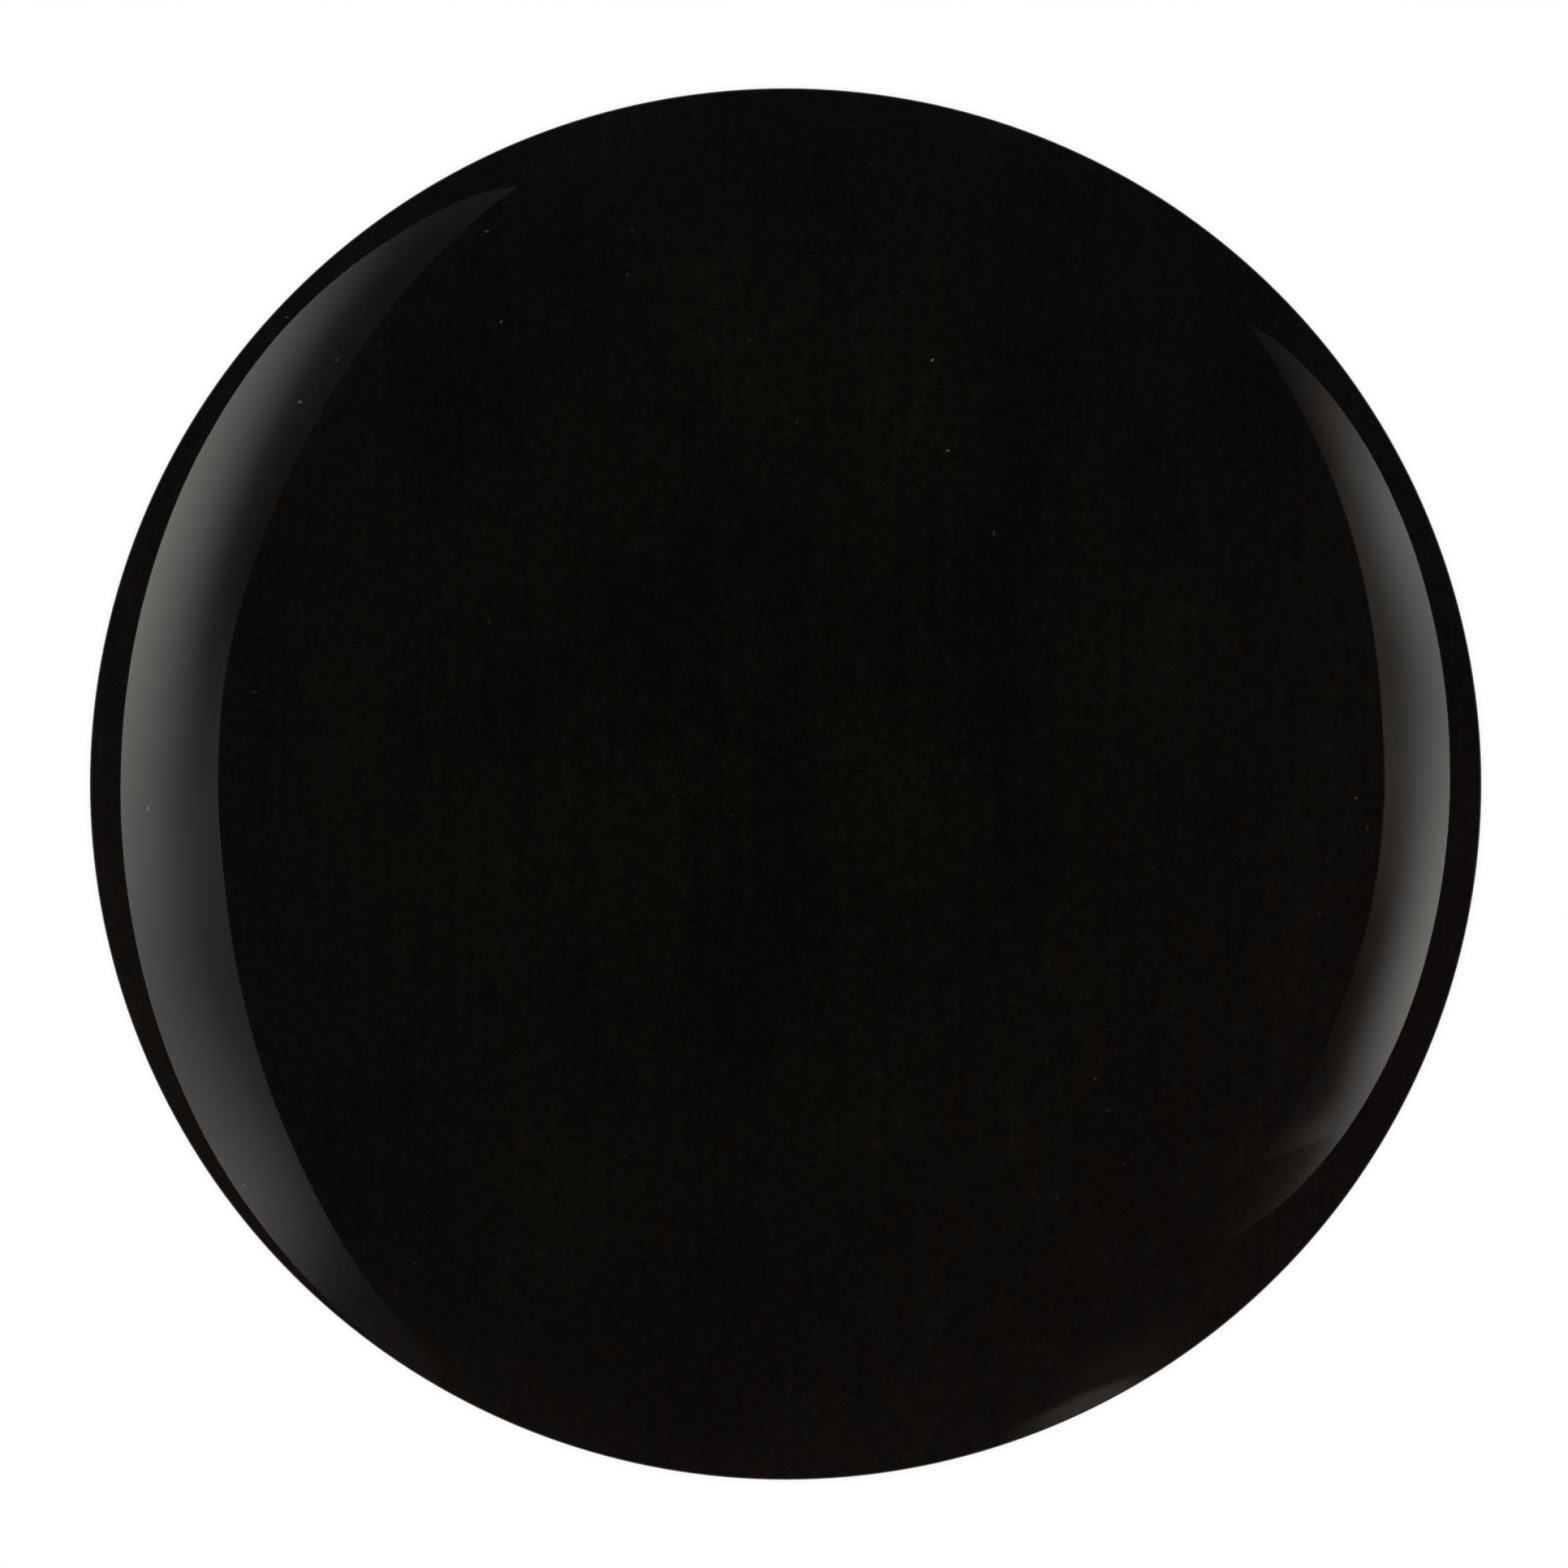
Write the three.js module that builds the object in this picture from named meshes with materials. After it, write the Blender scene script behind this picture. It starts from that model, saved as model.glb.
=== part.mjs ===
// A domed lacquer colour chip: a flat-backed moulded blank under four bonded lacquer films.
// Millimetres, +Z up. The origin is the centre of the flat back, and Z is the axis of the dome.
//
// Every film is a thin shell between two nested surfaces of the same family: a spherical dome, a small
// rounded corner and a straight edge band. One function gives that surface at any film build-up, so the
// inner face of each coat is, point for point, the outer face of the coat below it.

import * as THREE from 'three';

// The blank.
const BLANK_DIAMETER = 20; // across the edge band
const DOME_RISE = 3.8; // from the top of the band, at its sharp corner, to the crown
const BAND_HEIGHT = 0.9; // from the flat back up to that sharp corner
const CORNER_RADIUS = 0.05; // rounding between dome and band, which each film keeps
const BACK_CHAMFER = 0.12; // broken edge round the flat back

// The films, from the blank outwards. Each one is carried past the edge of the film below and feathers
// out to nothing on the bare band, so that it seals the edge that it covers.
const BASE_COAT_THICKNESS = 0.03;
const FIRST_COLOUR_THICKNESS = 0.04;
const SECOND_COLOUR_THICKNESS = 0.04;
const TOP_COAT_THICKNESS = 0.06;
const TOP_COAT_EDGE_HEIGHT = 0.2; // from the flat back up to the lowest edge of the finish
const EDGE_LAP = 0.05; // how far each film reaches past the edge of the one below
const FEATHER_LENGTH = 0.12; // along the band, over which a film thins out to its edge

// Fineness of the facets.
const SEGMENTS_ROUND = 64;
const DOME_STEPS = 9;
const CORNER_STEPS = 2;

const blankRadius = BLANK_DIAMETER / 2;
const sphereRadius = (blankRadius ** 2 + DOME_RISE ** 2) / (2 * DOME_RISE);
const sphereCentreZ = BAND_HEIGHT + DOME_RISE - sphereRadius;

const blackPlastic = new THREE.MeshStandardMaterial({ color: '#141413', roughness: 0.5, metalness: 0 });
const clearBase = new THREE.MeshStandardMaterial({ color: '#3a3a38', roughness: 0.3, metalness: 0 });
const blackLacquer = new THREE.MeshStandardMaterial({ color: '#0b0a08', roughness: 0.25, metalness: 0 });
const clearGloss = new THREE.MeshStandardMaterial({ color: '#1c1c1b', roughness: 0.03, metalness: 0 });

// Points on an arc round a centre in the (radius, height) plane, from one angle off the vertical to another.
function arc(centreR, centreZ, radius, fromAngle, toAngle, steps) {
  const points = [];
  for (let step = 0; step <= steps; step += 1) {
    const angle = fromAngle + ((toAngle - fromAngle) * step) / steps;
    points.push(new THREE.Vector2(centreR + radius * Math.sin(angle), centreZ + radius * Math.cos(angle)));
  }
  return points;
}

// The surface at a given film build-up over the blank, from the crown to the bottom of the rounded corner.
function domeAndCorner(buildUp) {
  const domeRadius = sphereRadius + buildUp;
  const cornerR = blankRadius + buildUp - CORNER_RADIUS;
  const cornerZ = sphereCentreZ + Math.sqrt((domeRadius - CORNER_RADIUS) ** 2 - cornerR ** 2);
  const rimAngle = Math.asin(cornerR / (domeRadius - CORNER_RADIUS));
  const dome = arc(0, sphereCentreZ, domeRadius, 0, rimAngle, DOME_STEPS);
  const corner = arc(cornerR, cornerZ, CORNER_RADIUS, rimAngle, Math.PI / 2, CORNER_STEPS);
  return [...dome, ...corner.slice(1)];
}

// The outer face of a film, from the crown down to its feathered edge on the band. With no build-up and
// no edge it is the blank's own face, which ends at the corner.
function outerFace(film) {
  const face = domeAndCorner(film.buildUp);
  if (film.buildUp > 0) {
    face.push(new THREE.Vector2(blankRadius + film.buildUp, film.edgeHeight + FEATHER_LENGTH));
    face.push(new THREE.Vector2(blankRadius, film.edgeHeight));
  }
  return face;
}

// A profile drawn from the crown down and back to the axis turns into a solid with its faces outwards
// when it is run the other way round, from the bottom up.
function revolve(name, profile, material) {
  const upwards = [...profile].reverse();
  const geometry = new THREE.LatheGeometry(upwards, SEGMENTS_ROUND);
  geometry.rotateX(Math.PI / 2); // the lathe turns about Y, and the chip stands along Z
  const mesh = new THREE.Mesh(geometry, material);
  mesh.name = name;
  return mesh;
}

function makeBlank() {
  const profile = [
    ...domeAndCorner(0),
    new THREE.Vector2(blankRadius, BACK_CHAMFER),
    new THREE.Vector2(blankRadius - BACK_CHAMFER, 0),
    new THREE.Vector2(0, 0),
  ];
  return revolve('chip_blank', profile, blackPlastic);
}

function makeCoat(name, below, film, material) {
  const profile = [...outerFace(film), ...outerFace(below).reverse()];
  return revolve(name, profile, material);
}

// Build-up and edge height of each film, the outermost edge lowest.
const coats = [
  { name: 'base_coat', thickness: BASE_COAT_THICKNESS, material: clearBase },
  { name: 'colour_coat_first', thickness: FIRST_COLOUR_THICKNESS, material: blackLacquer },
  { name: 'colour_coat_second', thickness: SECOND_COLOUR_THICKNESS, material: blackLacquer },
  { name: 'top_coat', thickness: TOP_COAT_THICKNESS, material: clearGloss },
];

const chip = new THREE.Group();
chip.name = 'lacquer_colour_chip';
chip.add(makeBlank());

let below = { buildUp: 0 };
coats.forEach((coat, index) => {
  const film = {
    buildUp: below.buildUp + coat.thickness,
    edgeHeight: TOP_COAT_EDGE_HEIGHT + EDGE_LAP * (coats.length - 1 - index),
  };
  chip.add(makeCoat(coat.name, below, film, coat.material));
  below = film;
});

export default chip;
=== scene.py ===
# %% [markdown]
# # A domed chip of gloss black lacquer
#
# The object is a lacquer colour chip: a flat-backed moulded blank, domed like a cabochon, under a clear
# bonding coat, two brushed black coats and a levelled clear gloss coat. It looks simple, and that is the
# lesson: nearly everything the eye gets from it is what its surface mirrors, so the dome has to be exact,
# the gloss has to be clean, and the studio round it has to be built as carefully as the chip.

import math

import bpy
import numpy as np
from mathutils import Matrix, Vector


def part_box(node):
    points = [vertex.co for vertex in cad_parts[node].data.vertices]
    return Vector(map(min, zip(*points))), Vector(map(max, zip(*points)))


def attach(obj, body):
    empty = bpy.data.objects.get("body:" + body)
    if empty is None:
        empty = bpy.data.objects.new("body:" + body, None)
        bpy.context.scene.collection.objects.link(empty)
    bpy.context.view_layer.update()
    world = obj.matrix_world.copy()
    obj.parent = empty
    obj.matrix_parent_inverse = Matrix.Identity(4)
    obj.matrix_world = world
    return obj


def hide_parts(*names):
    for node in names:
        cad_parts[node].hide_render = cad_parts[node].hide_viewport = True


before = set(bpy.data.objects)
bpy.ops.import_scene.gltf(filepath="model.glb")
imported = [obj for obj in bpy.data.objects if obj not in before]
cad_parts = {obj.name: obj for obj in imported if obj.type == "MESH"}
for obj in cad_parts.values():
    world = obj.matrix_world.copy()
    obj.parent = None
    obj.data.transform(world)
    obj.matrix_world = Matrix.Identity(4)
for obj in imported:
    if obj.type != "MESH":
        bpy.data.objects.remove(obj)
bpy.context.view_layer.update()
MM = 0.001

# %% [markdown]
# ## Sizes
#
# Every film is a surface of one family: a spherical dome, a small rounded corner and a straight band. The
# blank gives the domes' centre, which all of them share, and the rings of corners on each node give the
# rest. Measuring the solids keeps this file in step with them, which typing the sizes again would not.

# %% Find the centre that the domes share
def rings_of(node):
    """The (distance from the axis, height) of every corner of a CAD solid."""
    return [(math.hypot(v.co.x, v.co.y), v.co.z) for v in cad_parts[node].data.vertices]


def dome_centre_height():
    """Height of the domes' common centre, from the crown and one ring half way out on the blank."""
    rings = rings_of("chip_blank")
    crown = max(height for _, height in rings)
    half_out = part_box("chip_blank")[1].x / 2
    on_dome = [ring for ring in rings if ring[1] > crown / 2]
    out, height = min(on_dome, key=lambda ring: abs(ring[0] - half_out))
    drop = crown - height
    return crown - (out**2 + drop**2) / (2 * drop)


DOME_CENTRE = dome_centre_height()
print("centre of the domes, mm", round(DOME_CENTRE / MM, 3))

# %% Measure the blank and the films
FILMS = ["base_coat", "colour_coat_first", "colour_coat_second", "top_coat"]
HAIR = 0.001 * MM  # heights and distances closer than this count as equal


def surface_sizes(node):
    """Sizes of the outer face of a node, in metres."""
    rings = rings_of(node)
    band = max(out for out, _ in rings)
    on_band = [height for out, height in rings if out > band - HAIR]
    dome = max(height for _, height in rings) - DOME_CENTRE
    rise = max(on_band) - DOME_CENTRE
    return {
        "dome": dome,
        "band": band,
        "corner": (dome**2 - band**2 - rise**2) / (2 * (dome - band)),
        "corner_height": max(on_band),
        "band_foot": min(on_band),
        "foot": min(height for _, height in rings),
    }


sizes = {node: surface_sizes(node) for node in ["chip_blank", *FILMS]}
for node, size in sizes.items():
    print(node, {name: round(value / MM, 3) for name, value in size.items()})

BLANK_RADIUS = sizes["chip_blank"]["band"]
CHIP = sizes["top_coat"]
RIM_HEIGHT = CHIP["corner_height"]

# %% [markdown]
# ## The camera
#
# The chip is looked at from straight above. A long lens keeps the view almost parallel, so that the round
# band never shows past the rim. The camera comes before the pieces, because the studio cards further down
# are placed from what the dome mirrors into it.

# %% Place the camera
FRAME_TO_CHIP = 1.1267  # the frame's side over the chip's diameter
CAMERA_HEIGHT = 600 * MM
OFF_CENTRE = (-0.024 * MM, 0.0)  # the chip sits a hair right of the middle
NEAREST_SEEN = 10 * MM
FARTHEST_SEEN = 10.0


def add_object(name, data):
    """An object in the scene, at the origin and unturned."""
    obj = bpy.data.objects.new(name, data)
    bpy.context.scene.collection.objects.link(obj)
    return obj


camera_data = bpy.data.cameras.new("camera")
camera = add_object("camera", camera_data)
camera.location = (*OFF_CENTRE, CAMERA_HEIGHT)
frame_side = 2 * CHIP["band"] * FRAME_TO_CHIP
camera_data.lens = camera_data.sensor_width * (CAMERA_HEIGHT - RIM_HEIGHT) / frame_side
camera_data.clip_start = NEAREST_SEEN
camera_data.clip_end = FARTHEST_SEEN
bpy.context.scene.camera = camera
print("frame side, mm", round(frame_side / MM, 3), "lens, mm", round(camera_data.lens, 1))

# %% [markdown]
# ## Helpers for trees of nodes
#
# Finishes, studio and shapes are all built as trees of nodes. Clicking them together by hand would do, but
# a script is easier to read and to change. One helper makes a node, sets it, and plugs a value or another
# node's output into each of its inputs, so a tree reads from its sources down to its result.

# %% Make nodes and name a tree's inputs
def add_node(tree, kind, inputs=None, **settings):
    """A node with its settings. Each input, by name or number, gets a value or another node's output."""
    node = tree.nodes.new(kind)
    for name, value in settings.items():
        setattr(node, name, value)
    for socket, value in (inputs or {}).items():
        if isinstance(value, bpy.types.NodeSocket):
            tree.links.new(value, node.inputs[socket])
        else:
            node.inputs[socket].default_value = value
    return node


def number(tree, operation, *values):
    """The result of a Math node over numbers or other nodes' outputs."""
    return add_node(tree, "ShaderNodeMath", dict(enumerate(values)), operation=operation).outputs[0]


def new_shape_tree(name, inputs, output):
    """A Geometry Nodes tree with named inputs and one output, and the sockets that the inputs arrive at."""
    tree = bpy.data.node_groups.new(name, "GeometryNodeTree")
    for label, kind in inputs.items():
        tree.interface.new_socket(label, in_out="INPUT", socket_type="NodeSocket" + kind)
    tree.interface.new_socket(output, in_out="OUTPUT", socket_type="NodeSocketGeometry")
    return tree, add_node(tree, "NodeGroupInput").outputs


def end_tree(tree, shape, finish):
    """How every shape tree ends: smooth shading, no instances left, and the finish."""
    smooth = add_node(tree, "GeometryNodeSetShadeSmooth", {"Geometry": shape})
    real = add_node(tree, "GeometryNodeRealizeInstances", {"Geometry": smooth.outputs[0]})
    painted = add_node(tree, "GeometryNodeSetMaterial", {"Geometry": real.outputs[0], "Material": finish})
    add_node(tree, "NodeGroupOutput", {0: painted.outputs[0]})
    return tree


# %% [markdown]
# ## A lathe made of nodes
#
# Every part of the chip is a solid of revolution, so one small Geometry Nodes tree serves them all. It
# takes a half profile, as a row of points, and lays a grid over it: one direction of the grid runs along
# the profile, and the other round the axis. Each grid point looks its place up on the profile and is then
# turned about Z. The seam and the poles are welded, so the result is one closed skin. The Spin tool or a
# Screw modifier could do this too, but the tree keeps the fineness and the weld as inputs with names.

# %% Build the lathe tree
def lay_round(tree, profile, segments):
    """A grid whose columns run along the profile and whose rows run round the axis."""
    counted = add_node(tree, "GeometryNodeAttributeDomainSize", {"Geometry": profile}, component="MESH")
    stations = counted.outputs["Point Count"]
    rows = number(tree, "ADD", segments, 1)
    grid = add_node(tree, "GeometryNodeMeshGrid", {"Vertices X": rows, "Vertices Y": stations})
    index = add_node(tree, "GeometryNodeInputIndex").outputs[0]
    station = add_node(tree, "FunctionNodeIntegerMath", {0: index, 1: stations}, operation="MODULO")
    segment = add_node(tree, "FunctionNodeIntegerMath", {0: index, 1: stations}, operation="DIVIDE_FLOOR")
    on_profile = add_node(
        tree,
        "GeometryNodeSampleIndex",
        {
            "Geometry": profile,
            "Value": add_node(tree, "GeometryNodeInputPosition").outputs[0],
            "Index": station.outputs[0],
        },
        data_type="FLOAT_VECTOR",
        domain="POINT",
    )
    share = number(tree, "DIVIDE", segment.outputs[0], segments)
    turn = {"Vector": on_profile.outputs[0], "Angle": number(tree, "MULTIPLY", share, 2 * math.pi)}
    turned = add_node(tree, "ShaderNodeVectorRotate", turn, rotation_type="Z_AXIS")
    places = {"Geometry": grid.outputs["Mesh"], "Position": turned.outputs[0]}
    return add_node(tree, "GeometryNodeSetPosition", places).outputs[0]


def make_lathe_tree():
    inputs = {"Profile": "Geometry", "Segments": "Int", "Weld Distance": "Float", "Finish": "Material"}
    tree, given = new_shape_tree("lathe", inputs, "Solid")
    skin = lay_round(tree, given["Profile"], given["Segments"])
    weld = {"Geometry": skin, "Distance": given["Weld Distance"]}
    welded = add_node(tree, "GeometryNodeMergeByDistance", weld)
    return end_tree(tree, welded.outputs[0], given["Finish"])


lathe = make_lathe_tree()
print("lathe tree with", len(lathe.nodes), "nodes")

# %% [markdown]
# ## From a tree to a plain mesh
#
# A tree runs as a modifier. Its result could stay live, but other programs do not read trees, so it is
# baked: the finished mesh replaces the one that fed the tree, and the modifier goes. The signed volume of
# a mesh is worth knowing too, because a negative one tells that its faces point inwards.

# %% Run a tree and keep its result
def run_tree(name, mesh, tree, **inputs):
    """An object with the tree's result baked into its mesh. Inputs are given by the names on the tree."""
    obj = add_object(name, mesh)
    modifier = obj.modifiers.new(tree.name, "NODES")
    modifier.node_group = tree
    sockets = {item.name: item.identifier for item in tree.interface.items_tree if item.in_out == "INPUT"}
    for label, value in inputs.items():
        modifier[sockets[label.replace("_", " ")]] = value
    evaluated = obj.evaluated_get(bpy.context.evaluated_depsgraph_get())
    result = bpy.data.meshes.new_from_object(evaluated)
    obj.modifiers.remove(modifier)
    obj.data = result
    return obj


def volume_of(mesh):
    """The signed volume of a closed mesh. It is positive when its faces point outwards."""
    mesh.calc_loop_triangles()
    total = 0.0
    for triangle in mesh.loop_triangles:
        a, b, c = (mesh.vertices[i].co for i in triangle.vertices)
        total += a.dot(b.cross(c)) / 6
    return total


# %% [markdown]
# ## Profiles
#
# A profile is half of the outline of a cut through the axis. It could be a drawn curve, but a dome that is
# to mirror lights has to be a true arc, so its points are worked out. The dome is sampled evenly by angle.
# Close to the rim one more station holds the shading steady, because a smooth-shaded mesh blends its
# normals across each face, and the mirrored lights would bend there. The outermost face is the one that
# mirrors the studio, so it is sampled far more finely than the hidden ones.

# %% Draw a film's face
FINE_STEPS = 120  # along the dome, where it is seen
HIDDEN_STEPS = 24  # along the dome, where another film covers it
CORNER_STEPS = 8
SHADING_HOLD = 0.999  # share of the dome's arc at which the extra station sits


def on_arc(centre_out, centre_height, radius, angle):
    return (centre_out + radius * math.sin(angle), centre_height + radius * math.cos(angle))


def dome_and_corner(size, steps):
    """The face from the crown to the top of the straight band."""
    corner_out = size["band"] - size["corner"]
    rim = math.asin(corner_out / (size["dome"] - size["corner"]))
    angles = [rim * step / steps for step in range(steps)] + [rim * SHADING_HOLD, rim]
    face = [on_arc(0, DOME_CENTRE, size["dome"], angle) for angle in angles]
    for step in range(1, CORNER_STEPS + 1):
        angle = rim + (math.pi / 2 - rim) * step / CORNER_STEPS
        face.append(on_arc(corner_out, size["corner_height"], size["corner"], angle))
    return face


def film_face(node, steps):
    """The outer face of a film, from the crown down to its feathered edge on the blank's band."""
    size = sizes[node]
    return [*dome_and_corner(size, steps), (size["band"], size["band_foot"]), (BLANK_RADIUS, size["foot"])]


# %% Turn a profile
SEGMENTS = 288  # round the axis
WELD = 0.05e-3 * MM
CREASE = math.radians(30)  # a sharper bend than this stays an edge in the shading


def revolve(name, profile, finish):
    """A solid turned from a half profile that starts at the crown and ends back on the axis."""
    mesh = bpy.data.meshes.new(name + "_profile")
    points = [(out, 0.0, height) for out, height in profile]
    mesh.from_pydata(points, [(i, i + 1) for i in range(len(points) - 1)], [])
    piece = run_tree(name, mesh, lathe, Segments=SEGMENTS, Weld_Distance=WELD, Finish=finish)
    if volume_of(piece.data) < 0:
        piece.data.flip_normals()
    piece.data.set_sharp_from_angle(angle=CREASE)
    print(name, len(piece.data.polygons), "faces,", round(volume_of(piece.data) / MM**3, 3), "mm3")
    return piece


# %% [markdown]
# ## Finishes
#
# A lacquer is layered, and so is its material. The black lies at the bottom: nearly no light comes back
# from it. Broad clouds, a mottle, a fine grain and upright brush streaks make it a little paler here and
# there, and some of it is browner. Over it lies the clear coat, which is the Principled shader's own Coat,
# smooth and sharp. The patterns belong only to the black, so they change its colour and leave the coat's
# mirror alone. They could be painted in an image, but noise needs no unwrapping and has no seam. All of it
# reads Object coordinates, in metres, so a scale of one over a size in metres gives marks of about that
# size. Noise hovers round a half, so every ramp below takes only the middle of its range.

# %% Helpers for finishes
def new_finish(name, **settings):
    """A material with a Principled shader whose plain settings are given by socket name."""
    finish = bpy.data.materials.new(name)
    finish.use_nodes = True
    shader = finish.node_tree.nodes["Principled BSDF"]
    for label, value in settings.items():
        shader.inputs[label.replace("_", " ")].default_value = value
    return finish, finish.node_tree, shader


def marks(tree, size, detail=2.0, roughness=0.5):
    """Noise whose largest marks have the given size along X, Y and Z, in metres."""
    where = add_node(tree, "ShaderNodeTexCoord").outputs["Object"]
    scaled = add_node(tree, "ShaderNodeMapping", {"Vector": where, "Scale": [1 / length for length in size]})
    settings = {"Vector": scaled.outputs[0], "Scale": 1.0, "Detail": detail, "Roughness": roughness}
    return add_node(tree, "ShaderNodeTexNoise", settings).outputs["Fac"]


def between(tree, factor, low, high, colours):
    """A colour that goes from one to the other as the factor goes from low to high."""
    ramp = add_node(tree, "ShaderNodeValToRGB", {"Fac": factor})
    for stop, place, colour in zip(ramp.color_ramp.elements, (low, high), colours):
        stop.position = place
        stop.color = (*colour, 1)
    return ramp.outputs["Color"]


def grey(value):
    return (value, value, value)


def varied(tree, noise, amount):
    """A brightness that wanders by this amount to either side of 1."""
    return between(tree, noise, 0.3, 0.7, (grey(1 - amount), grey(1 + amount)))


def multiplied(tree, one, other):
    factors = {"Factor": 1.0, 6: one, 7: other}  # 6 and 7 are the colours among the node's many inputs
    return add_node(tree, "ShaderNodeMix", factors, data_type="RGBA", blend_type="MULTIPLY").outputs[2]


def add_relief(tree, shader, height, depth):
    """A fine relief, of this depth in metres, in the shading."""
    bump = add_node(tree, "ShaderNodeBump", {"Distance": depth, "Height": height})
    tree.links.new(bump.outputs["Normal"], shader.inputs["Normal"])


# %% Brushed black lacquer
THICK = (0.0021, 0.0020, 0.0013)  # where the black lies thickest
THIN = (0.0036, 0.0035, 0.0027)  # and thinnest
LESS_RED = (0.79, 1.0, 1.0)
MORE_RED = (1.22, 1.0, 1.0)
CLOUDS = (2.4 * MM, 4.0 * MM, 4.0 * MM)
MOTTLE = (0.26 * MM, 0.33 * MM, 0.33 * MM)
GRAIN = (0.06 * MM, 0.08 * MM, 0.08 * MM)
STREAK = (0.10 * MM, 3.0 * MM, 3.0 * MM)
TINT = (0.6 * MM, 1.2 * MM, 1.2 * MM)
BRUSH_DEPTH = 0.004 * MM


def brushed_black(tree):
    """The black coat: mottled, grained, streaked upright by the brush, and browner here and there."""
    colour = between(tree, marks(tree, MOTTLE, detail=3.0, roughness=1.0), 0.34, 0.66, (THICK, THIN))
    tints = marks(tree, TINT, detail=4.0, roughness=1.0)
    patterns = [
        varied(tree, marks(tree, CLOUDS, detail=1.0), 0.18),
        varied(tree, marks(tree, GRAIN, detail=1.0), 0.21),
        varied(tree, marks(tree, STREAK), 0.12),
        between(tree, tints, 0.36, 0.64, (LESS_RED, MORE_RED)),
    ]
    for pattern in patterns:
        colour = multiplied(tree, colour, pattern)
    return colour


def make_black_lacquer():
    """The brushed coats under the gloss, which keep the brush's relief."""
    finish, tree, shader = new_finish("brushed_black_lacquer", Roughness=0.32, IOR=1.5)
    tree.links.new(brushed_black(tree), shader.inputs["Base Color"])
    add_relief(tree, shader, marks(tree, STREAK), BRUSH_DEPTH)
    return finish


def make_gloss_over_black():
    """The clear coat with the black that is seen through it."""
    finish, tree, shader = new_finish(
        "clear_gloss_over_black",
        Roughness=0.5,
        IOR=1.5,
        Specular_IOR_Level=0.0,
        Coat_Weight=1.0,
        Coat_Roughness=0.012,
        Coat_IOR=1.5,
    )
    tree.links.new(brushed_black(tree), shader.inputs["Base Color"])
    return finish


black_lacquer = make_black_lacquer()
gloss_over_black = make_gloss_over_black()
print("lacquers", black_lacquer.name, gloss_over_black.name)

# %% [markdown]
# ## Finishes of the blank, the bonding coat and the dust
#
# The blank is black moulded plastic. Its mould was blasted, which leaves a fine satin skin, and handling
# has worn that skin paler in soft patches. The bonding coat is never seen, but gets a finish of its own,
# as every layer here does. Dust is pale and dull. How pale each grain is comes from an attribute on its
# mesh, which holds the dust's own tone and also a painted glint, largest on the grains that lie in a
# crescent of mirrored light.

# %% Plastic, bonding coat and dust
SKIN = (0.14 * MM,) * 3
SKIN_TONES = ((0.006, 0.006, 0.0055), (0.024, 0.024, 0.0225))
SKIN_DEPTH = 0.010 * MM
WEAR = (2.6 * MM,) * 3
FILM_TONES = ((0.011, 0.011, 0.010), (0.015, 0.015, 0.014))
FIBRES = (0.02 * MM,) * 3
FIBRE_TONES = ((0.75, 0.74, 0.70), (1.2, 1.19, 1.14))


def make_moulded_plastic():
    """Black moulded plastic: the fine satin skin of a blasted mould, worn a little paler in soft patches."""
    finish, tree, shader = new_finish("moulded_black_plastic", Roughness=0.46, IOR=1.49)
    skin = marks(tree, SKIN, detail=4.0, roughness=0.7)
    tone = between(tree, skin, 0.34, 0.66, SKIN_TONES)
    wear = between(tree, marks(tree, WEAR, detail=3.0), 0.35, 0.65, (grey(0.6), grey(1.5)))
    tree.links.new(multiplied(tree, tone, wear), shader.inputs["Base Color"])
    add_relief(tree, shader, skin, SKIN_DEPTH)
    return finish


def make_clear_film():
    """The clear bonding coat. It is hidden, and dark because of what lies under it."""
    finish, tree, shader = new_finish("clear_bonding_film", Roughness=0.2, IOR=1.48)
    tree.links.new(between(tree, marks(tree, STREAK), 0.3, 0.7, FILM_TONES), shader.inputs["Base Color"])
    return finish


def make_lint():
    """Pale dust drowned in the gloss, as pale as its attribute says: its own tone and a painted glint."""
    finish, tree, shader = new_finish("caught_dust", Roughness=0.8, Specular_IOR_Level=0.0)
    # the attribute holds each grain's dust tone together with a painted glint
    pale = add_node(tree, "ShaderNodeAttribute", attribute_name="paleness_and_glint").outputs["Color"]
    fibres = between(tree, marks(tree, FIBRES), 0.3, 0.7, FIBRE_TONES)
    tree.links.new(multiplied(tree, pale, fibres), shader.inputs["Base Color"])
    return finish


moulded_plastic = make_moulded_plastic()
clear_film = make_clear_film()
lint = make_lint()
print("other finishes", moulded_plastic.name, clear_film.name, lint.name)

# %% [markdown]
# ## The blank
#
# The blank is a moulding: dome, small corner, straight band, a broken edge and a flat back. Only a strip of
# its band and its back are bare. A sphere cut by a cylinder would give the same form, but with uneven faces
# along the cut, where the lathe leaves clean rings. The chamfer's foot is the widest ring of the back.

# %% Turn the blank
def blank_profile():
    size = sizes["chip_blank"]
    back = max(out for out, height in rings_of("chip_blank") if height < HAIR)
    return [*dome_and_corner(size, HIDDEN_STEPS), (size["band"], size["band_foot"]), (back, 0.0), (0.0, 0.0)]


blank = revolve("blank_moulding", blank_profile(), moulded_plastic)
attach(blank, "root")
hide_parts("chip_blank")

# %% [markdown]
# ## The four films
#
# Each film is the space between its own outer face and the outer face of what it was laid on. The films
# could be one thick coat, but the chip is built the way it is painted, so each of them is a closed shell
# whose inner face is, station for station, the outer face below it.

# %% Lay the films
FINISHES = {
    "base_coat": (clear_film, "clear_base"),
    "colour_coat_first": (black_lacquer, "black_lacquer"),
    "colour_coat_second": (black_lacquer, "black_lacquer"),
    "top_coat": (gloss_over_black, "clear_gloss"),
}

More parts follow.
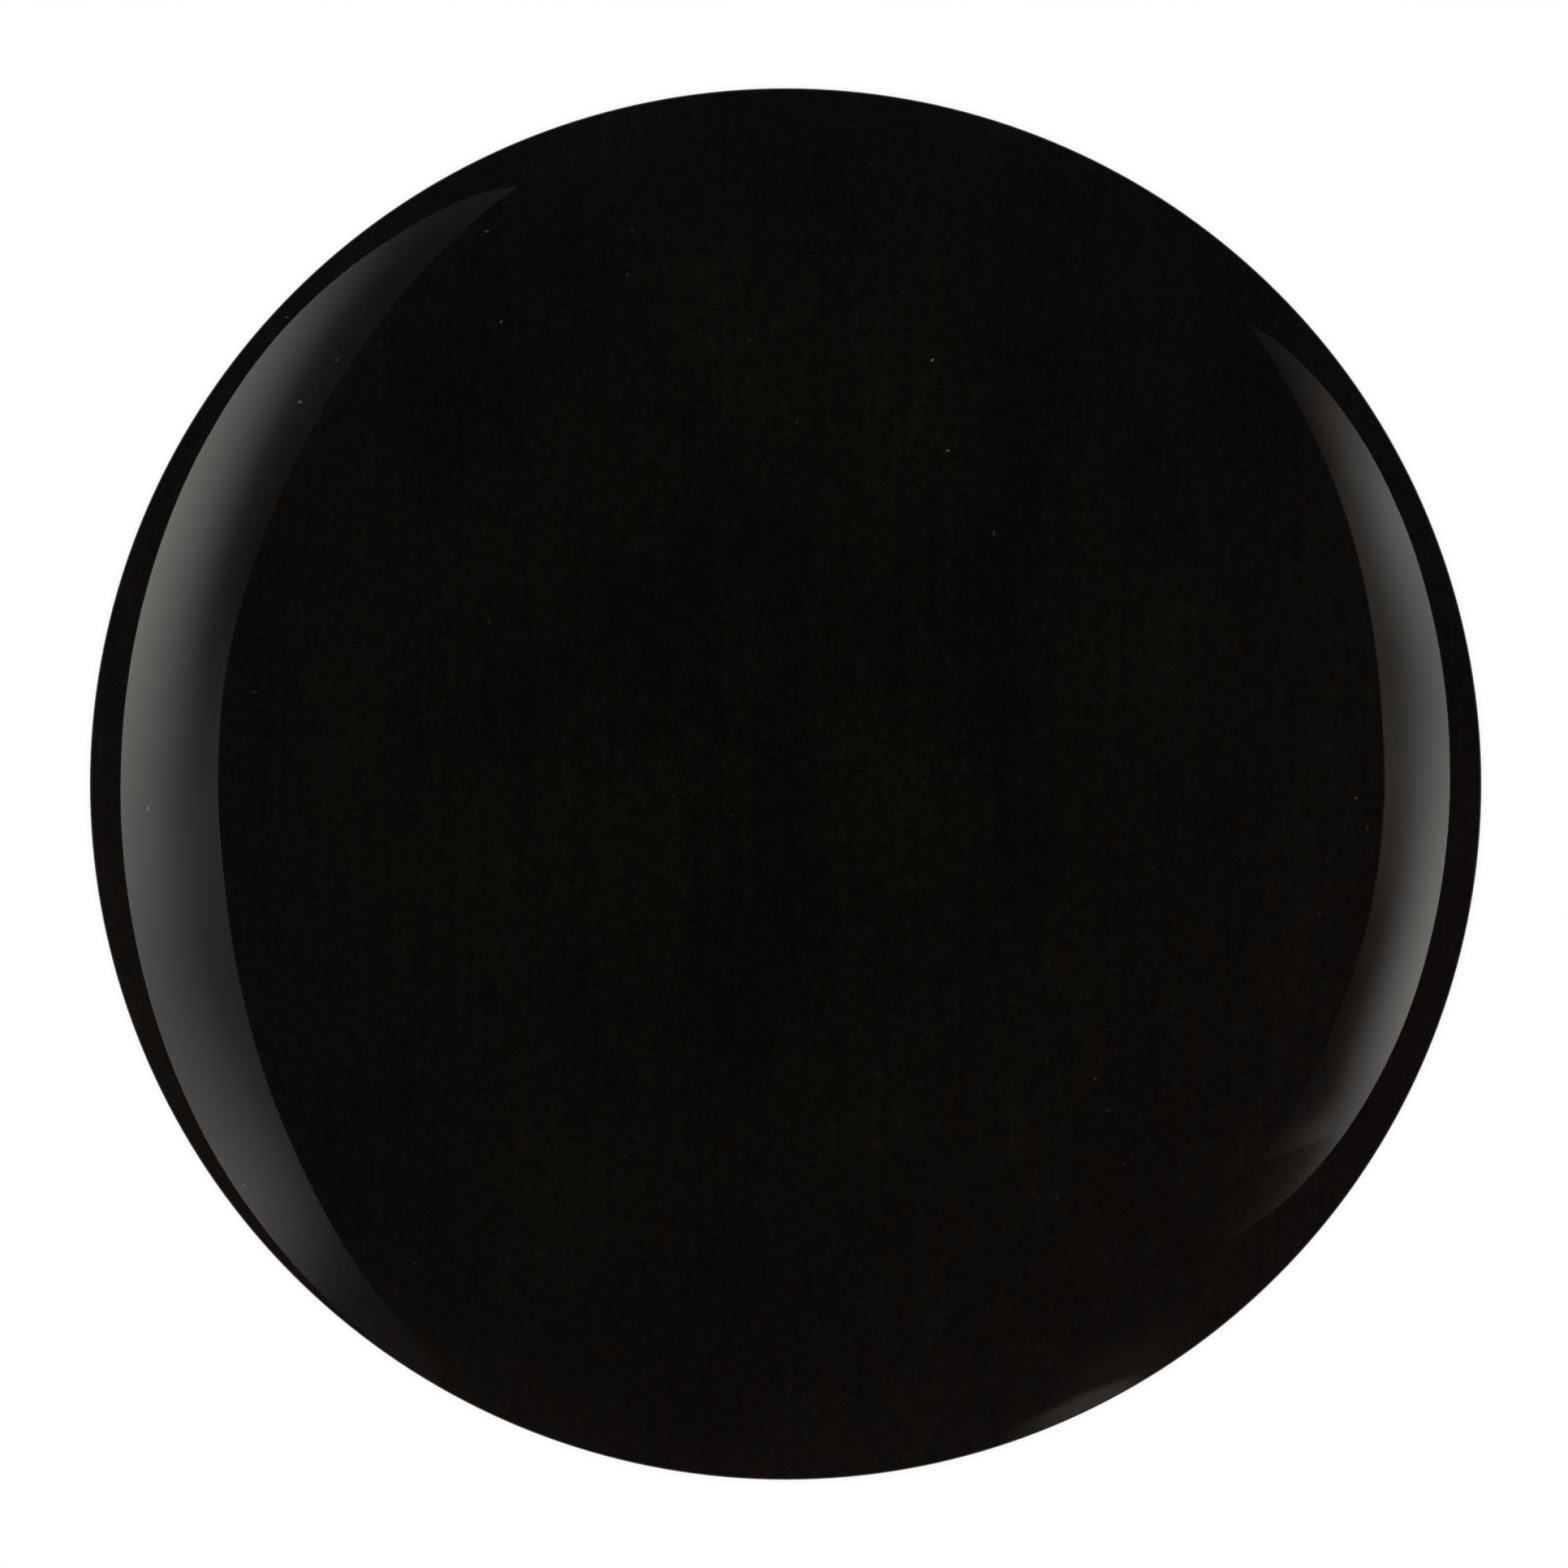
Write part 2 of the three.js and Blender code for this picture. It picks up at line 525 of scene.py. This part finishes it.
below = dome_and_corner(sizes["chip_blank"], HIDDEN_STEPS)
for node in FILMS:
    steps = FINE_STEPS if node == "top_coat" else HIDDEN_STEPS
    face = film_face(node, steps)
    finish, slot = FINISHES[node]
    film = revolve(node + "_film", [*face, *reversed(below)], finish)
    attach(film, "root")
    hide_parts(node)
    below = face

# %% [markdown]
# ## Dust in the gloss
#
# No brushed finish dries without a few nibs of dust in it. They are tiny flat grains, most of them lying
# the same way, as the brush left them. Specks in the material's noise would fall anywhere, while grains
# can be put where they belong. The ones that catch the eye are listed one by one, and the faint ones are
# dealt out at random with a fixed seed. Each place carries its grain's length and paleness as attributes.
# Geometry Nodes then turn it into a grain, which lies flat on the dome, because the dome's normal is the
# way from its centre, and gets a heading of its own.

# %% Choose where the dust lies
# The last column is each grain's dust tone with a painted glint, largest on grains in a crescent of light.
NIBS = [  # distance from the axis in mm, azimuth in degrees, length in mm, and paleness
    (6.53, 70.9, 0.066, 0.078), (7.91, 121.6, 0.063, 0.047), (5.39, 64.1, 0.064, 0.050),
    (9.02, 141.8, 0.076, 0.074), (9.31, 182.2, 0.078, 0.185), (9.17, 118.4, 0.070, 0.042),
    (8.32, 358.6, 0.066, 0.031), (6.22, 316.4, 0.060, 0.024), (9.98, 136.9, 0.062, 0.042),
    (4.74, 50.3, 0.067, 0.024), (6.48, 94.6, 0.058, 0.0175), (9.85, 216.5, 0.064, 0.120),
    (7.77, 107.3, 0.076, 0.0135), (8.83, 350.6, 0.066, 0.032), (9.01, 136.6, 0.078, 0.030),
    (5.26, 88.2, 0.069, 0.013), (8.51, 355.6, 0.074, 0.0145), (8.38, 105.5, 0.078, 0.0135),
    (4.91, 151.4, 0.064, 0.011), (8.73, 132.7, 0.080, 0.011), (6.68, 314.6, 0.080, 0.012),
    (7.20, 303.3, 0.080, 0.012), (7.85, 170.2, 0.076, 0.0115), (8.01, 346.4, 0.078, 0.012),
    (8.85, 232.2, 0.080, 0.012), (4.43, 287.7, 0.080, 0.009), (7.41, 311.6, 0.072, 0.0095),
    (0.90, 210.2, 0.060, 0.0085),
]
FAINT_NIBS = 7
FAINT_REACH = 0.9  # share of the chip's radius within which the faint ones lie
FAINT_PALENESS = (0.0045, 0.007)
FAINT_LENGTHS = (0.040 * MM, 0.075 * MM)
DUST_SEED = 7


def deal_grains():
    """(distance from the axis, azimuth, length, paleness) of every grain, in metres and radians."""
    chance = np.random.default_rng(DUST_SEED)
    outs = CHIP["band"] * FAINT_REACH * np.sqrt(chance.random(FAINT_NIBS))
    turns = 2 * math.pi * chance.random(FAINT_NIBS)
    faint = chance.uniform(*FAINT_PALENESS, FAINT_NIBS)
    lengths = chance.uniform(*FAINT_LENGTHS, FAINT_NIBS)
    grains = [(out * MM, math.radians(azimuth), length * MM, pale) for out, azimuth, length, pale in NIBS]
    return grains + list(zip(outs, turns, lengths, faint))


def dust_places(grains):
    """A point on the finished dome for each grain, with its length and paleness."""
    mesh = bpy.data.meshes.new("dust_places")
    points = [
        (out * math.cos(turn), out * math.sin(turn), DOME_CENTRE + math.sqrt(CHIP["dome"] ** 2 - out**2))
        for out, turn, _, _ in grains
    ]
    mesh.from_pydata(points, [], [])
    for column, name in ((2, "length"), (3, "paleness_and_glint")):
        attribute = mesh.attributes.new(name, "FLOAT", "POINT")
        attribute.data.foreach_set("value", [grain[column] for grain in grains])
    return mesh


dust_mesh = dust_places(deal_grains())
print("dust at", len(dust_mesh.vertices), "places")

# %% Build the dust tree
NIB_SHAPE = (1.0, 0.55, 0.20)  # length, width and thickness of a nib, over its length


def random_turn(tree, lie, stray, seed):
    """A turn about Z that strays by chance to either side of the common lie."""
    limits = {2: number(tree, "SUBTRACT", lie, stray), 3: number(tree, "ADD", lie, stray), "Seed": seed}
    heading = add_node(tree, "FunctionNodeRandomValue", limits, data_type="FLOAT")
    about_z = add_node(tree, "ShaderNodeCombineXYZ", {"Z": heading.outputs[1]})
    return add_node(tree, "FunctionNodeEulerToRotation", {0: about_z.outputs[0]}).outputs[0]


def flat_on_dome(tree, turn, centre):
    """The same turn, tipped so that its Z points away from the dome's centre."""
    place = add_node(tree, "GeometryNodeInputPosition").outputs[0]
    outwards = add_node(tree, "ShaderNodeVectorMath", {0: place, 1: centre}, operation="SUBTRACT")
    tipping = {"Rotation": turn, "Vector": outwards.outputs[0]}
    return add_node(tree, "FunctionNodeAlignRotationToVector", tipping, axis="Z").outputs[0]


def make_dust_tree():
    inputs = {
        "Places": "Geometry",
        "Dome Centre": "Vector",
        "Seed": "Int",
        "Lie": "Float",
        "Stray": "Float",
        "Finish": "Material",
    }
    tree, given = new_shape_tree("dust", inputs, "Dust")
    ball = add_node(tree, "GeometryNodeMeshIcoSphere", {"Radius": 0.5, "Subdivisions": 3})
    nib = add_node(tree, "GeometryNodeTransform", {"Geometry": ball.outputs["Mesh"], "Scale": NIB_SHAPE})
    length = add_node(tree, "GeometryNodeInputNamedAttribute", {"Name": "length"}, data_type="FLOAT")
    turn = random_turn(tree, given["Lie"], given["Stray"], given["Seed"])
    laying = {
        "Points": given["Places"],
        "Instance": nib.outputs[0],
        "Rotation": flat_on_dome(tree, turn, given["Dome Centre"]),
        "Scale": length.outputs["Attribute"],
    }
    laid = add_node(tree, "GeometryNodeInstanceOnPoints", laying)
    return end_tree(tree, laid.outputs[0], given["Finish"])


# %% Lay the dust
dust = run_tree(
    "dust_nibs",
    dust_mesh,
    make_dust_tree(),
    Dome_Centre=(0.0, 0.0, DOME_CENTRE),
    Seed=DUST_SEED,
    Lie=math.radians(35),
    Stray=math.radians(40),
    Finish=lint,
)
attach(dust, "root")
print("dust", len(dust.data.polygons), "faces")

# %% [markdown]
# ## The table
#
# The chip lies on a pale table. A plain white one would take the chip's shadow at full strength. So its
# white comes mostly from the material itself and only for a small share from the light that falls on it,
# and the shadow stays faint. Whatever looks straight at the table, or sees it mirrored or through glass,
# gets that white, and the light that it throws back up at the chip is that of a plain pale table. From
# below, the table is clear where the chip stands, so that the chip's back can be looked at.

# %% Build the table
HALF_TABLE = 3.0  # half the side of the square table
SHADOW_SHARE = 0.18  # how much of the table's white is light that falls on it, and so can be shadowed
WHITE = (1, 1, 1, 1)
PALE = (0.8, 0.8, 0.8, 1)


def bare_finish(name):
    """A material whose tree is empty."""
    finish = bpy.data.materials.new(name)
    finish.use_nodes = True
    finish.node_tree.nodes.clear()
    return finish, finish.node_tree


def blended(tree, share, one, other):
    """The first shader where the share is 0, and the other where it is 1."""
    return add_node(tree, "ShaderNodeMixShader", {"Fac": share, 1: one, 2: other}).outputs[0]


def make_table_finish():
    finish, tree = bare_finish("pale_table")
    lit = add_node(tree, "ShaderNodeBsdfDiffuse", {"Color": WHITE}).outputs[0]
    even = add_node(tree, "ShaderNodeEmission", {"Strength": 1.0}).outputs[0]
    plain = add_node(tree, "ShaderNodeBsdfDiffuse", {"Color": PALE}).outputs[0]
    seen = add_node(tree, "ShaderNodeLightPath").outputs
    shown = number(tree, "MAXIMUM", seen["Is Camera Ray"], seen["Is Glossy Ray"])
    shown = number(tree, "MAXIMUM", shown, seen["Is Transmission Ray"])
    front = blended(tree, shown, plain, blended(tree, 1 - SHADOW_SHARE, lit, even))

    where = add_node(tree, "ShaderNodeTexCoord").outputs["Object"]
    off_axis = add_node(tree, "ShaderNodeVectorMath", {0: where}, operation="LENGTH").outputs["Value"]
    clear = add_node(tree, "ShaderNodeBsdfTransparent").outputs[0]
    back = blended(tree, number(tree, "LESS_THAN", off_axis, BLANK_RADIUS), even, clear)

    from_below = add_node(tree, "ShaderNodeNewGeometry").outputs["Backfacing"]
    add_node(tree, "ShaderNodeOutputMaterial", {"Surface": blended(tree, from_below, front, back)})
    return finish


corners = [(x * HALF_TABLE, y * HALF_TABLE, 0) for x, y in ((-1, -1), (1, -1), (1, 1), (-1, 1))]
table_mesh = bpy.data.meshes.new("table")
table_mesh.from_pydata(corners, [], [(0, 1, 2, 3)])
table_mesh.materials.append(make_table_finish())
table = add_object("table", table_mesh)
print("table, m across", 2 * HALF_TABLE)

# %% [markdown]
# ## The plain light
#
# One broad soft sun hangs straight above. Its strength of pi makes a white surface render as white and
# every other colour as it is written. Its own reflection would be a grey disc on the crown, so it is kept
# out of glossy rays.

# %% Hang the plain light
SUN_SPREAD = math.radians(16)

sun_data = bpy.data.lights.new("broad_sun", "SUN")
sun_data.energy = math.pi
sun_data.angle = SUN_SPREAD
sun = add_object("broad_sun", sun_data)
sun.visible_glossy = False
print("sun spread, degrees", round(math.degrees(SUN_SPREAD)))

# %% [markdown]
# ## The dark studio
#
# The studio above the table is the world. It is dark, as it has to be for a black gloss to stay black. It
# could be a real room's panorama, but a few nodes are enough for soft changes, and each can be set alone.
# The ceiling is grey, the walls add a little from there down to the horizon, and so does a skirting low
# down. One side is brighter low down and another is warmer at every height, and both are mirrored as soft
# changes in the black. Only a low band round the horizon is white, where the studio meets the table.

# %% Paint the dark studio
HORIZON_WHITE = math.sin(math.radians(1))  # sine of the elevation up to which the world is white
STUDIO_DARK = math.sin(math.radians(4))  # and of the one from which it is the dark studio
CEILING = (0.008, 0.008, 0.008)
WALLS = (0.014, 0.010, 0.012)  # added from the ceiling down to the horizon
SKIRTING = (0.020, 0.017, 0.018)  # added low down
SKIRTING_FADE = 6.0  # the power by which it fades upwards
LEFT_LOW = (0.10, 0.065, 0.055)  # added low down on one side
LEFT_AZIMUTH = 214
WARM_WALL = (0.024, 0.007, 0.009)  # added on another side, at every height
WARM_AZIMUTH = -45


def towards(tree, direction, azimuth):
    """Squared cosine between a direction and a level one, and 0 on the far side."""
    turn = math.radians(azimuth)
    pair = {0: direction, 1: (math.cos(turn), math.sin(turn), 0.0)}
    cosine = add_node(tree, "ShaderNodeVectorMath", pair, operation="DOT_PRODUCT").outputs["Value"]
    return number(tree, "POWER", number(tree, "MAXIMUM", cosine, 0.0), 2.0)


def studio_colour(tree, direction, up):
    """The ceiling's grey, with everything that the walls add to it."""
    level = number(tree, "SUBTRACT", 1.0, number(tree, "MAXIMUM", up, 0.0))
    low = number(tree, "POWER", level, SKIRTING_FADE)
    added = [
        (WALLS, number(tree, "SUBTRACT", 1.0, number(tree, "MULTIPLY", up, up))),
        (SKIRTING, low),
        (LEFT_LOW, number(tree, "MULTIPLY", low, towards(tree, direction, LEFT_AZIMUTH))),
        (WARM_WALL, towards(tree, direction, WARM_AZIMUTH)),
    ]
    colour = CEILING
    for extra, factor in added:
        terms = {0: extra, 1: factor, 2: colour}
        colour = add_node(tree, "ShaderNodeVectorMath", terms, operation="MULTIPLY_ADD").outputs[0]
    return colour


def make_world():
    world = bpy.data.worlds.new("studio")
    world.use_nodes = True
    tree = world.node_tree
    direction = add_node(tree, "ShaderNodeTexCoord").outputs["Generated"]
    up = add_node(tree, "ShaderNodeSeparateXYZ", {0: direction}).outputs["Z"]
    limits = {"Value": up, "From Min": HORIZON_WHITE, "From Max": STUDIO_DARK}
    height = add_node(tree, "ShaderNodeMapRange", limits).outputs["Result"]
    colours = {"Factor": height, 6: WHITE, 7: studio_colour(tree, direction, up)}
    shade = add_node(tree, "ShaderNodeMix", colours, data_type="RGBA")
    tree.links.new(shade.outputs[2], tree.nodes["Background"].inputs["Color"])
    return world


bpy.context.scene.world = make_world()
print("studio with", len(bpy.context.scene.world.node_tree.nodes), "nodes")

# %% [markdown]
# ## Cards for the dome to mirror
#
# What makes the chip look glossy are the two long crescents of light along its sides. Each of them is a
# large soft card, seen in the dome. A card can be pushed about until its reflection looks right, or it can
# be worked out backwards: draw the crescent on the chip, send the camera's ray to each of its points, let
# the dome mirror the ray, and hang the card where the rays go. That is what the next cells do. Azimuth runs
# anticlockwise from +X, and the distance from the axis is given as a share of the chip's radius.

# %% Follow a ray from the camera
COAT_INDEX = 1.5


def mirror_at(share, azimuth):
    """Where the camera sees this point of the chip, where the dome sends its ray, and the angle's cosine."""
    turn = math.radians(azimuth)
    out = share * CHIP["band"]
    eye = camera.location
    ray = (Vector((out * math.cos(turn), out * math.sin(turn), RIM_HEIGHT)) - eye).normalized()
    centre = Vector((0, 0, DOME_CENTRE))
    nearest = (centre - eye).dot(ray)
    off = (centre - eye).length_squared - nearest**2
    point = eye + ray * (nearest - math.sqrt(max(CHIP["dome"] ** 2 - off, 0)))
    normal = (point - centre).normalized()
    return point, ray.reflect(normal), -ray.dot(normal)


def mirrored_part(cosine):
    """The part of the light that the clear coat mirrors at this angle, by Fresnel's equations."""
    inside = math.sqrt(1 - (1 - cosine**2) / COAT_INDEX**2)
    across = (cosine - COAT_INDEX * inside) / (cosine + COAT_INDEX * inside)
    along = (COAT_INDEX * cosine - inside) / (COAT_INDEX * cosine + inside)
    return (across**2 + along**2) / 2


print("the coat mirrors", round(mirrored_part(1.0), 3), "of the light that falls straight on it")

# %% [markdown]
# ## Curves for the cards
#
# A crescent is drawn by its two edges, and its light by how bright it is along and between them. All of
# that changes slowly with azimuth, so each edge and each brightness is a smooth curve through a few points.
# A soft rise from 0 to 1 between two places does the rest.

# %% Draw smooth curves through a few points
def smooth_through(*knots):
    """A smooth curve through (azimuth, value) points, each joined to the next by a cubic."""
    xs, ys = np.array(sorted(knots), float).T
    slopes = np.gradient(ys, xs)

    def value(x):
        x = float(np.clip(x, xs[0], xs[-1]))
        i = min(int(np.searchsorted(xs, x, side="right")) - 1, len(xs) - 2)
        width = xs[i + 1] - xs[i]
        t = (x - xs[i]) / width
        return (
            (2 * t**3 - 3 * t**2 + 1) * ys[i]
            + (t**3 - 2 * t**2 + t) * width * slopes[i]
            + (3 * t**2 - 2 * t**3) * ys[i + 1]
            + (t**3 - t**2) * width * slopes[i + 1]
        )

    return value


def rising(x, start, end):
    """0 before start, 1 after end, and smooth between. Start may be the larger."""
    t = min(max((x - start) / (end - start), 0.0), 1.0)
    return t * t * (3 - 2 * t)


# %% [markdown]
# ## How a card is made
#
# A card is a fine grid of points, each hung where the dome sends the camera's ray. An area light would be
# quicker to hang, but it is flat and evenly bright, and its reflection could not be fitted this closely.
# Every point carries its glow as an attribute: the light that the chip should show there, divided by the
# part of it that the clear coat mirrors. The finish is a gauze that adds this glow to whatever lies behind
# it, in a warmer colour where the glow is dim. A card throws no light or shadow on the chip, and is seen
# only as a reflection.

# %% Make a card
CARD_DISTANCE = 600 * MM  # from the dome to a card, along each mirrored ray
ALONG, ACROSS = 400, 48  # faces in the grid
FULL_GLOW = 1.0  # brightness of a card from which its light is no longer warmer
SOFTNESS = 0.15  # of the bend at which a card starts to brighten, as a share of its width
THOUSANDTH = 0.001  # the cards' curves give light in thousandths of white


def brightening(across, start):
    """0 before start and straight up after it, with a soft bend between."""
    ahead = across - start
    return (ahead + math.hypot(ahead, SOFTNESS)) / 2


def make_gauze(name, tints):
    """A finish that adds a mesh's own glow to what lies behind it, with its tint when dim and when full."""
    finish, tree = bare_finish(name)
    glow = add_node(tree, "ShaderNodeAttribute", attribute_name="glow").outputs["Fac"]
    colour = between(tree, glow, 0.0, FULL_GLOW, tints)
    light = add_node(tree, "ShaderNodeEmission", {"Color": colour, "Strength": glow})
    clear = add_node(tree, "ShaderNodeBsdfTransparent")
    both = add_node(tree, "ShaderNodeAddShader", {0: light.outputs[0], 1: clear.outputs[0]})
    add_node(tree, "ShaderNodeOutputMaterial", {"Surface": both.outputs[0]})
    return finish


def card_mesh(name, ends, inner, outer, glow):
    """A grid hung where the dome mirrors the patch of chip between two curves."""
    points, strengths = [], []
    for i in range(ALONG + 1):
        azimuth = ends[0] + (ends[1] - ends[0]) * i / ALONG
        near, far = inner(azimuth), outer(azimuth)
        for j in range(ACROSS + 1):
            across = j / ACROSS
            point, way, cosine = mirror_at(near + (far - near) * across, azimuth)
            points.append(point + way * CARD_DISTANCE)
            strengths.append(max(glow(azimuth, across), 0.0) / mirrored_part(cosine))
    row = ACROSS + 1
    faces = [
        (i * row + j, (i + 1) * row + j, (i + 1) * row + j + 1, i * row + j + 1)
        for i in range(ALONG)
        for j in range(ACROSS)
    ]
    mesh = bpy.data.meshes.new(name)
    mesh.from_pydata(points, [], faces)
    mesh.attributes.new("glow", "FLOAT", "POINT").data.foreach_set("value", strengths)
    print(name, "brightest", round(max(strengths), 2))
    return mesh


def make_card(name, ends, inner, outer, glow, tints):
    """A card from one azimuth to another, mirrored between two curves with the given light on the chip."""
    mesh = card_mesh(name, ends, inner, outer, glow)
    mesh.materials.append(make_gauze(name, tints))
    card = add_object(name, mesh)
    card.visible_camera = False
    card.visible_diffuse = False
    card.visible_shadow = False


# %% [markdown]
# ## The left card
#
# The long crescent on the left starts as a point at its upper end and runs out towards the rim at its lower
# one. It is faint where it begins, at its inner edge, and from somewhere across its width it climbs to its
# outer edge, most of all near its middle. So three curves give its light: how bright the faint part is, how
# far the light climbs, and where across the card it starts to.

# %% The left card
LIGHT = (1.02, 1.0, 0.95)
DIM_LIGHT = (1.06, 1.0, 0.91)

left_faint = smooth_through(
    (114, 6), (119, 4.2), (124, 3.0), (130, 2.6), (138, 1.7), (148, 0.2), (157, 0.2), (166, 4.4),
    (178, 13.3), (185, 16), (196, 13), (208, 11.6), (217, 12.7), (223, 11.8), (228, 5.6), (233, 2.4),
    (240, 0.8),
)
left_climb = smooth_through(
    (114, 0), (119, 2), (122, 5), (126, 20), (130, 55), (138, 127), (148, 166), (157, 195), (164, 186),
    (172, 156), (178, 130), (188, 99), (196, 71), (207, 50), (218, 42), (224, 16), (229, 1.5), (234, 0.5),
    (240, 0),
)
left_start = smooth_through(
    (114, 0.0), (119, 0.1), (124, 0.42), (128, 0.49), (133, 0.48), (138, 0.43), (148, 0.35), (160, 0.31),
    (174, 0.27), (188, 0.29), (200, 0.25), (209, 0.07), (216, 0.0), (240, 0.05),
)
left_inner = smooth_through(
    (114, 0.9415), (122, 0.9145), (133, 0.8787), (144, 0.8489), (155, 0.8298), (167, 0.8213),
    (180, 0.8157), (189, 0.8180), (199, 0.8329), (209, 0.8572), (219, 0.8890), (227, 0.9213),
    (234, 0.950), (240, 0.974),
)
left_outer = smooth_through(
    (114, 0.9415), (117, 0.9543), (121, 0.9620), (127, 0.9686), (137, 0.9737), (149, 0.9687),
    (163, 0.9600), (179, 0.9557), (192, 0.9599), (205, 0.9703), (214, 0.9792), (222, 0.9860),
    (230, 0.9925), (240, 0.998),
)


def left_glow(azimuth, across):
    climb = left_climb(azimuth) * brightening(across, left_start(azimuth))
    return (left_faint(azimuth) + climb) * THOUSANDTH


make_card("left_card", (114, 240), left_inner, left_outer, left_glow, (DIM_LIGHT, LIGHT))

# %% [markdown]
# ## The right card
#
# The crescent on the right is the shorter one. Its light is made up as the left one's is, but it is warmer
# where it is dim, and its hot spot sits low. Below that, past a straight line across the card called the
# fold, only a last faint light is left, which fades downwards and inwards.

# %% The right card
WARM_LIGHT = (1.17, 1.0, 0.90)
FOLD_AZIMUTH = -39.25  # of the fold at the card's inner edge
FOLD_CLIMB = 7.6  # degrees that the fold has turned by the outer edge
LAST_LIGHT = 38  # thousandths of white past the fold, at the outer edge and the azimuth below
LAST_AZIMUTH = -34
LAST_DEGREES = 4.2  # downwards over which that light falls to 1/e
LAST_FALLS = 4  # how many times it falls to 1/e from the outer edge to the inner one
EDGE_SOFTNESS = 0.01  # of the card's inner edge, as a share of its width
SOFTER_BY = 0.1  # added to that, just above the fold
SOFTER_FROM, SOFTER_TO = -29, -34  # azimuths over which it is added

right_faint = smooth_through(
    (45, 2.2), (36, 3.2), (32, 4.2), (28, 9.8), (24, 12.4), (16, 13.2), (10, 12.8), (3, 16.4), (-4, 12.6),
    (-12, 4.2), (-18, 0.4), (-30, 0), (-38, 0.3), (-46, 0),
)
right_climb = smooth_through(
    (45, 0), (36, 16), (32, 42), (24, 106), (16, 110), (9, 114), (0, 136), (-12, 189), (-19, 196),
    (-25, 148), (-29, 121), (-32, 84), (-34, 38), (-36, 15), (-38, 8), (-46, 0),
)
right_start = smooth_through(
    (45, 0), (40, 0), (28, 0.17), (20, 0.19), (12, 0.29), (6, 0.31), (-2, 0.28), (-20, 0.33), (-25, 0.35),
    (-30, 0.44), (-32, 0.38), (-34, 0.17), (-36, 0), (-46, 0),
)
right_inner = smooth_through(
    (45, 0.9373), (35, 0.9125), (25, 0.8912), (16, 0.8741), (7, 0.8622), (-2, 0.8595), (-12, 0.8590),
    (-22, 0.8595), (-28, 0.8640), (-34, 0.8650), (-40, 0.8660), (-46, 0.8800),
)
right_outer = smooth_through(
    (45, 0.9373), (42, 0.9500), (38, 0.9585), (32, 0.9644), (23, 0.9643), (14, 0.9602), (2, 0.9551),
    (-11, 0.9534), (-24, 0.9523), (-34, 0.9450), (-40, 0.9341), (-46, 0.9140),
)


def right_glow(azimuth, across):
    if azimuth < FOLD_AZIMUTH + FOLD_CLIMB * across:
        falls = (LAST_AZIMUTH - azimuth) / LAST_DEGREES + LAST_FALLS * (1 - across)
        return LAST_LIGHT * THOUSANDTH * math.exp(-falls)
    softness = EDGE_SOFTNESS + SOFTER_BY * rising(azimuth, SOFTER_FROM, SOFTER_TO)
    climb = right_climb(azimuth) * brightening(across, right_start(azimuth))
    return (right_faint(azimuth) + climb) * rising(across, 0, softness) * THOUSANDTH


make_card("right_card", (-46, 45), right_inner, right_outer, right_glow, (WARM_LIGHT, LIGHT))

# %% [markdown]
# ## The small glow at the lower right rim
#
# A patch of light low at the chip's front right is mirrored just inside the rim, which cuts it off. It
# begins softly, brightens towards the rim, and lies in a much fainter halo.

# %% The glow at the rim
RIM_LIGHT = (1.19, 1.0, 0.845)
RIM_START = 0.91  # where its card begins, as a share of the chip's radius
SOFT_INWARDS, SOFT_OUTWARDS = 0.005, 0.006  # how far the patch's inner edge is soft, as such shares
PATCH_GAIN = 16  # how fast the patch brightens outwards
HALO = 2.1  # in thousandths of white
HALO_AZIMUTH, HALO_WIDTH = -61, 6
HALO_FULL = 0.55  # of the card's width, where the halo reaches its full light

rim_inner = smooth_through(
    (-76, 0.99), (-70, 0.980), (-67, 0.9765), (-63, 0.9765), (-61, 0.982), (-56, 0.991)
)
rim_peak = smooth_through(
    (-76, 0), (-72, 0.3), (-70, 3.1), (-68, 8), (-66, 12.5), (-64, 14.6), (-62, 14.3), (-61, 13.5),
    (-60, 9.5), (-59, 3.2), (-57, 1.2), (-52, 0),
)


def bell(x, centre, width):
    """1 at the centre, and 1/e at this width to either side of it."""
    return math.exp(-(((x - centre) / width) ** 2))


def rim_glow(azimuth, across):
    out = RIM_START + (1 - RIM_START) * across
    inner = rim_inner(azimuth)
    edge = rising(out, inner - SOFT_INWARDS, inner + SOFT_OUTWARDS)
    patch = edge * (1 + PATCH_GAIN * (out - inner))
    halo = HALO * bell(azimuth, HALO_AZIMUTH, HALO_WIDTH) * rising(across, 0, HALO_FULL)
    return (rim_peak(azimuth) * patch + halo) * THOUSANDTH


make_card("rim_card", (-76, -50), lambda _: RIM_START, lambda _: 1.0, rim_glow, (RIM_LIGHT, RIM_LIGHT))

# %% [markdown]
# ## Finish
#
# The picture is shown as it is lit, with the Standard view transform and nothing else.

# %% Show the picture as it is lit
bpy.context.scene.view_settings.view_transform = "Standard"
